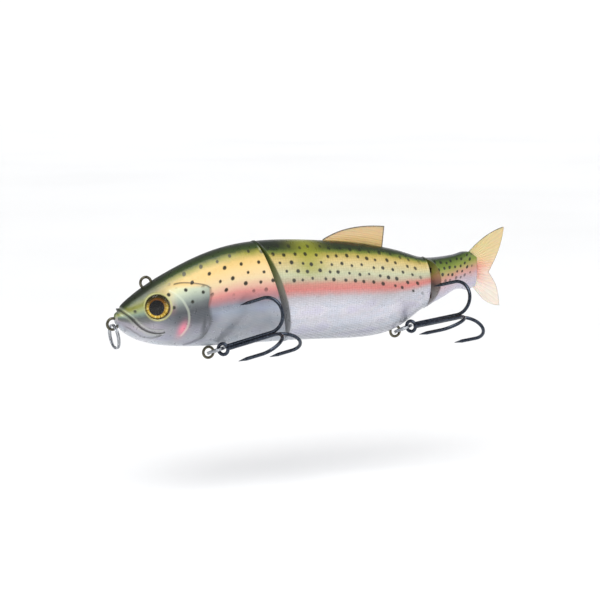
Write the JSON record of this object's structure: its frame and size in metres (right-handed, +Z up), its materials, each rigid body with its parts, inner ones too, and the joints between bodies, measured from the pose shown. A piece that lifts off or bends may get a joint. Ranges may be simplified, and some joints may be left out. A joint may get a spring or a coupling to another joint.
{
  "type": "fishing lure",
  "caption": "Jointed trout-shaped swimbait in hinged hollow sections, with a nose line eye, soft fins, domed eyes and treble hooks hung on split rings.",
  "frame": {"origin": "centre of the nose line eye's loop", "axes": "+X back along the fish to its tail, +Z up to its back, and the fish's left flank faces -Y"},
  "size_m": [0.1972, 0.0518, 0.0549],
  "materials": {
    "painted_shell": "moulded shell painted as a trout and clear coated",
    "eye_foil": "printed gold foil with a black pupil",
    "eye_lens": "clear domed resin",
    "soft_fin": "translucent soft tan, tinted",
    "wire_eye": "dark nickel stainless wire",
    "hinge_wire": "plain stainless wire",
    "ballast_weight": "plain cast slug",
    "split_ring": "bright nickel plate",
    "treble_hook": "black nickel plate"
  },
  "bodies": {
    "head": {"head_shell_left": "painted_shell", "head_shell_right": "painted_shell", "eye_foil_left": "eye_foil", "eye_foil_right": "eye_foil", "eye_lens_left": "eye_lens", "eye_lens_right": "eye_lens", "nose_line_eye": "wire_eye", "crown_line_eye": "wire_eye", "front_hook_hanger": "wire_eye", "front_hinge_eye_lower": "hinge_wire", "front_hinge_eye_upper": "hinge_wire", "head_ballast": "ballast_weight"},
    "mid": {"mid_shell_left": "painted_shell", "mid_shell_right": "painted_shell", "dorsal_fin": "soft_fin", "rear_hook_hanger": "wire_eye", "front_hinge_pin": "hinge_wire", "rear_hinge_eye_lower": "hinge_wire", "rear_hinge_eye_upper": "hinge_wire", "mid_ballast": "ballast_weight"},
    "tail": {"tail_shell_left": "painted_shell", "tail_shell_right": "painted_shell", "rear_hinge_pin": "hinge_wire", "caudal_fin": "soft_fin"},
    "nose_ring": {"nose_split_ring": "split_ring"},
    "front_ring": {"front_split_ring": "split_ring"},
    "front_hook": {"front_treble_hook": "treble_hook"},
    "rear_ring": {"rear_split_ring": "split_ring"},
    "rear_hook": {"rear_treble_hook": "treble_hook"}
  },
  "joints": [
    {"name": "front_hinge", "type": "hinge", "parent": "head", "child": "mid", "pos_m": [0.0806, 0, 0], "axis": [0, 0, 1], "range_deg": [-16, 16]},
    {"name": "rear_hinge", "type": "hinge", "parent": "mid", "child": "tail", "pos_m": [0.154, 0, 0], "axis": [0, 0, 1], "range_deg": [-40, 40]},
    {"name": "nose_ring_swing", "type": "hinge", "parent": "head", "child": "nose_ring", "pos_m": [0, 0, -0.00035], "axis": [0, 1, 0], "range_deg": [-30, 96]},
    {"name": "front_ring_swing", "type": "hinge", "parent": "head", "child": "front_ring", "pos_m": [0.0443, 0, -0.01575], "axis": [0.6947, 0.7193, 0], "range_deg": [0, 70]},
    {"name": "front_hook_swing", "type": "hinge", "parent": "front_ring", "child": "front_hook", "pos_m": [0.04832, -0.00666, -0.01301], "axis": [0.9307, 0.3287, 0.1606], "range_deg": [0, 45]},
    {"name": "rear_ring_swing", "type": "hinge", "parent": "mid", "child": "rear_ring", "pos_m": [0.137, 0, -0.01275], "axis": [0.682, 0.7314, 0], "range_deg": [0, 70]},
    {"name": "rear_hook_swing", "type": "hinge", "parent": "rear_ring", "child": "rear_hook", "pos_m": [0.14189, -0.00597, -0.00934], "axis": [0.8234, 0.5589, 0.0984], "range_deg": [0, 45]}
  ]
}
